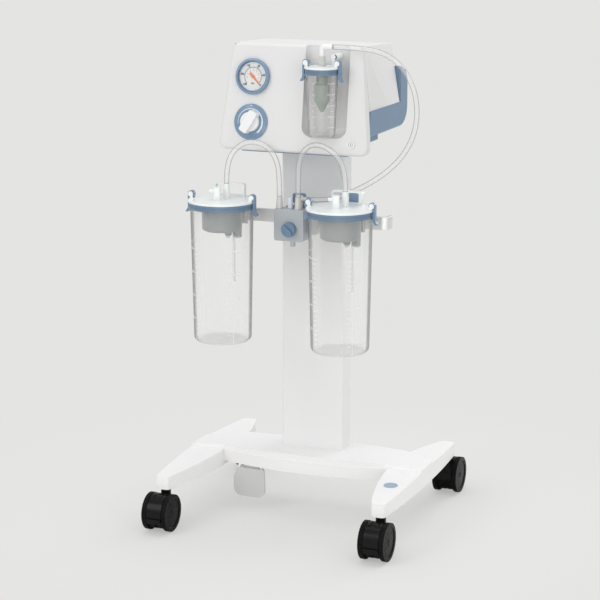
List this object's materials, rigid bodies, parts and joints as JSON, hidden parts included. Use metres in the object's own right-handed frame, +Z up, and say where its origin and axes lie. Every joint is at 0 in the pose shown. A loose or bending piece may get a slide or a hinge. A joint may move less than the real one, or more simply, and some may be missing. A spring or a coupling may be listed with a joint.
{
  "type": "mobile vacuum aspirator",
  "caption": "Mobile suction unit: pump with gauge and vacuum dial on a wheeled column, collection jars and changeover valve on a rail",
  "frame": {"origin": "on the floor at the middle of the four casters", "axes": "+Z up, +X to the object's right, front towards -Y"},
  "size_m": [0.508, 0.5295, 0.9661],
  "materials": {
    "white_steel": "satin",
    "white_shell": "satin",
    "pedal_grey": "satin",
    "rail_steel": "brushed",
    "zinc_steel": "satin",
    "black_nylon": "satin",
    "tread_rubber": "satin",
    "housing_blue": "satin",
    "trim_blue": "gloss",
    "dial_white": "matte",
    "needle_orange": "satin",
    "clear_window": "clear",
    "knob_white": "gloss",
    "cast_alloy": "cast",
    "valve_brass": "machined",
    "board_green": "satin",
    "inlet_black": "satin",
    "clear_jar": "clear",
    "lid_white": "gloss",
    "valve_grey": "satin",
    "block_grey": "satin",
    "holder_grey": "satin",
    "clear_hose": "clear"
  },
  "bodies": {
    "trolley": {"accessory_rail": "rail_steel", "base_crossbar": "white_shell", "base_leg_left": "white_steel", "base_leg_right": "white_steel", "block_clamp": "holder_grey", "column": "white_steel", "control_board": "board_green", "dial_ring": "trim_blue", "gauge_bezel": "trim_blue", "gauge_dial": "dial_white", "gauge_window": "clear_window", "jar_holder_left": "holder_grey", "jar_holder_right": "holder_grey", "mains_inlet": "inlet_black", "mounting_screws": "zinc_steel", "pump_cover": "white_shell", "pump_housing": "housing_blue", "pump_tray": "housing_blue", "pump_unit": "cast_alloy", "rail_brackets": "zinc_steel", "suction_hose_left": "clear_hose", "suction_hose_right": "clear_hose", "vacuum_hose": "clear_hose", "vacuum_regulator": "valve_brass", "valve_block": "block_grey"},
    "caster_front_left": {"caster_front_left": "black_nylon"},
    "wheels_front_left": {"wheels_front_left": "tread_rubber"},
    "caster_front_right": {"caster_front_right": "black_nylon"},
    "wheels_front_right": {"wheels_front_right": "tread_rubber"},
    "caster_rear_left": {"caster_rear_left": "black_nylon"},
    "wheels_rear_left": {"wheels_rear_left": "tread_rubber"},
    "caster_rear_right": {"caster_rear_right": "black_nylon"},
    "wheels_rear_right": {"wheels_rear_right": "tread_rubber"},
    "brake_lever_left": {"brake_lever_left": "black_nylon"},
    "brake_lever_right": {"brake_lever_right": "black_nylon"},
    "foot_pedal": {"foot_pedal": "pedal_grey"},
    "gauge_needle": {"gauge_needle": "needle_orange"},
    "vacuum_knob": {"vacuum_knob": "knob_white"},
    "power_button": {"power_button": "knob_white"},
    "changeover_knob": {"changeover_knob": "trim_blue"},
    "block_latch": {"block_latch": "trim_blue"},
    "jar_unit_left": {"jar_ring_left": "trim_blue", "jar_lid_left": "lid_white", "jar_float_valve_left": "valve_grey"},
    "jar_left": {"jar_left": "clear_jar"},
    "jar_clip_left_a": {"jar_clip_left_a": "trim_blue"},
    "jar_clip_left_b": {"jar_clip_left_b": "trim_blue"},
    "jar_unit_right": {"jar_ring_right": "trim_blue", "jar_lid_right": "lid_white", "jar_float_valve_right": "valve_grey"},
    "jar_right": {"jar_right": "clear_jar"},
    "jar_clip_right_a": {"jar_clip_right_a": "trim_blue"},
    "jar_clip_right_b": {"jar_clip_right_b": "trim_blue"},
    "safety_jar": {"safety_jar": "clear_jar"},
    "safety_lid": {"safety_ring": "trim_blue", "safety_lid": "lid_white", "vacuum_elbow": "knob_white", "safety_float_cage": "valve_grey"},
    "safety_clip_a": {"safety_clip_a": "trim_blue"},
    "safety_clip_b": {"safety_clip_b": "trim_blue"}
  },
  "joints": [
    {"name": "swivel_front_left", "type": "hinge", "parent": "trolley", "child": "caster_front_left", "pos_m": [-0.228, -0.203, 0.0825], "axis": [0, 0, 1], "continuous": true},
    {"name": "roll_front_left", "type": "hinge", "parent": "caster_front_left", "child": "wheels_front_left", "pos_m": [-0.228, -0.226, 0.0375], "axis": [1, 0, 0], "continuous": true},
    {"name": "swivel_front_right", "type": "hinge", "parent": "trolley", "child": "caster_front_right", "pos_m": [0.228, -0.203, 0.0825], "axis": [0, 0, 1], "continuous": true},
    {"name": "roll_front_right", "type": "hinge", "parent": "caster_front_right", "child": "wheels_front_right", "pos_m": [0.228, -0.226, 0.0375], "axis": [1, 0, 0], "continuous": true},
    {"name": "swivel_rear_left", "type": "hinge", "parent": "trolley", "child": "caster_rear_left", "pos_m": [-0.228, 0.203, 0.0825], "axis": [0, 0, 1], "continuous": true},
    {"name": "roll_rear_left", "type": "hinge", "parent": "caster_rear_left", "child": "wheels_rear_left", "pos_m": [-0.228, 0.226, 0.0375], "axis": [1, 0, 0], "continuous": true},
    {"name": "swivel_rear_right", "type": "hinge", "parent": "trolley", "child": "caster_rear_right", "pos_m": [0.228, 0.203, 0.0825], "axis": [0, 0, 1], "continuous": true},
    {"name": "roll_rear_right", "type": "hinge", "parent": "caster_rear_right", "child": "wheels_rear_right", "pos_m": [0.228, 0.226, 0.0375], "axis": [1, 0, 0], "continuous": true},
    {"name": "brake_left", "type": "hinge", "parent": "caster_front_left", "child": "brake_lever_left", "pos_m": [-0.228, -0.226, 0.0375], "axis": [1, 0, 0], "range_deg": [0, 12]},
    {"name": "brake_right", "type": "hinge", "parent": "caster_front_right", "child": "brake_lever_right", "pos_m": [0.228, -0.226, 0.0375], "axis": [1, 0, 0], "range_deg": [0, 12]},
    {"name": "pedal_press", "type": "hinge", "parent": "trolley", "child": "foot_pedal", "pos_m": [-0.115, -0.0358, 0.084], "axis": [1, 0, 0], "range_deg": [0, 12], "stiffness_Nm_per_rad": 1.5, "springref_deg": -2.86},
    {"name": "gauge_reading", "type": "hinge", "parent": "trolley", "child": "gauge_needle", "pos_m": [-0.088, -0.07532, 0.895], "axis": [0, -0.9896, 0.1441], "range_deg": [0, 270]},
    {"name": "vacuum_dial", "type": "hinge", "parent": "trolley", "child": "vacuum_knob", "pos_m": [-0.088, -0.08799, 0.808], "axis": [0, -0.9896, 0.1441], "range_deg": [-120, 150]},
    {"name": "power_press", "type": "slide", "parent": "trolley", "child": "power_button", "axis": [0, 0.9896, -0.1441], "range_m": [0, 0.0018], "stiffness_N_per_m": 400, "springref_m": -0.0005},
    {"name": "jar_changeover", "type": "hinge", "parent": "trolley", "child": "changeover_knob", "pos_m": [0.002, -0.112, 0.606], "axis": [0, -1, 0], "range_deg": [0, 80]},
    {"name": "block_release", "type": "hinge", "parent": "trolley", "child": "block_latch", "pos_m": [0, -0.055, 0.652], "axis": [-1, 0, 0], "range_deg": [0, 60]},
    {"name": "jar_pull_left", "type": "slide", "parent": "trolley", "child": "jar_unit_left", "axis": [0, -1, 0], "range_m": [0, 0.08]},
    {"name": "jar_drop_left", "type": "slide", "parent": "jar_unit_left", "child": "jar_left", "axis": [0, 0, -1], "range_m": [0, 0.17]},
    {"name": "clip_left_a", "type": "hinge", "parent": "jar_unit_left", "child": "jar_clip_left_a", "pos_m": [-0.1872, -0.152, 0.6709], "axis": [0, 1, 0], "range_deg": [0, 75]},
    {"name": "clip_left_b", "type": "hinge", "parent": "jar_unit_left", "child": "jar_clip_left_b", "pos_m": [-0.0588, -0.152, 0.6709], "axis": [0, -1, 0], "range_deg": [0, 75]},
    {"name": "jar_pull_right", "type": "slide", "parent": "trolley", "child": "jar_unit_right", "axis": [0, -1, 0], "range_m": [0, 0.08]},
    {"name": "jar_drop_right", "type": "slide", "parent": "jar_unit_right", "child": "jar_right", "axis": [0, 0, -1], "range_m": [0, 0.17]},
    {"name": "clip_right_a", "type": "hinge", "parent": "jar_unit_right", "child": "jar_clip_right_a", "pos_m": [0.0588, -0.152, 0.6709], "axis": [0, 1, 0], "range_deg": [0, 75]},
    {"name": "clip_right_b", "type": "hinge", "parent": "jar_unit_right", "child": "jar_clip_right_b", "pos_m": [0.1872, -0.152, 0.6709], "axis": [0, -1, 0], "range_deg": [0, 75]},
    {"name": "safety_pull", "type": "slide", "parent": "trolley", "child": "safety_jar", "axis": [0, -1, 0], "range_m": [0, 0.07]},
    {"name": "safety_lid_lift", "type": "slide", "parent": "safety_jar", "child": "safety_lid", "axis": [0, 0, 1], "range_m": [0, 0.017]},
    {"name": "safety_clip_a", "type": "hinge", "parent": "safety_lid", "child": "safety_clip_a", "pos_m": [0.0298, -0.094, 0.9289], "axis": [0, 1, 0], "range_deg": [0, 75]},
    {"name": "safety_clip_b", "type": "hinge", "parent": "safety_lid", "child": "safety_clip_b", "pos_m": [0.0942, -0.094, 0.9289], "axis": [0, -1, 0], "range_deg": [0, 75]}
  ]
}
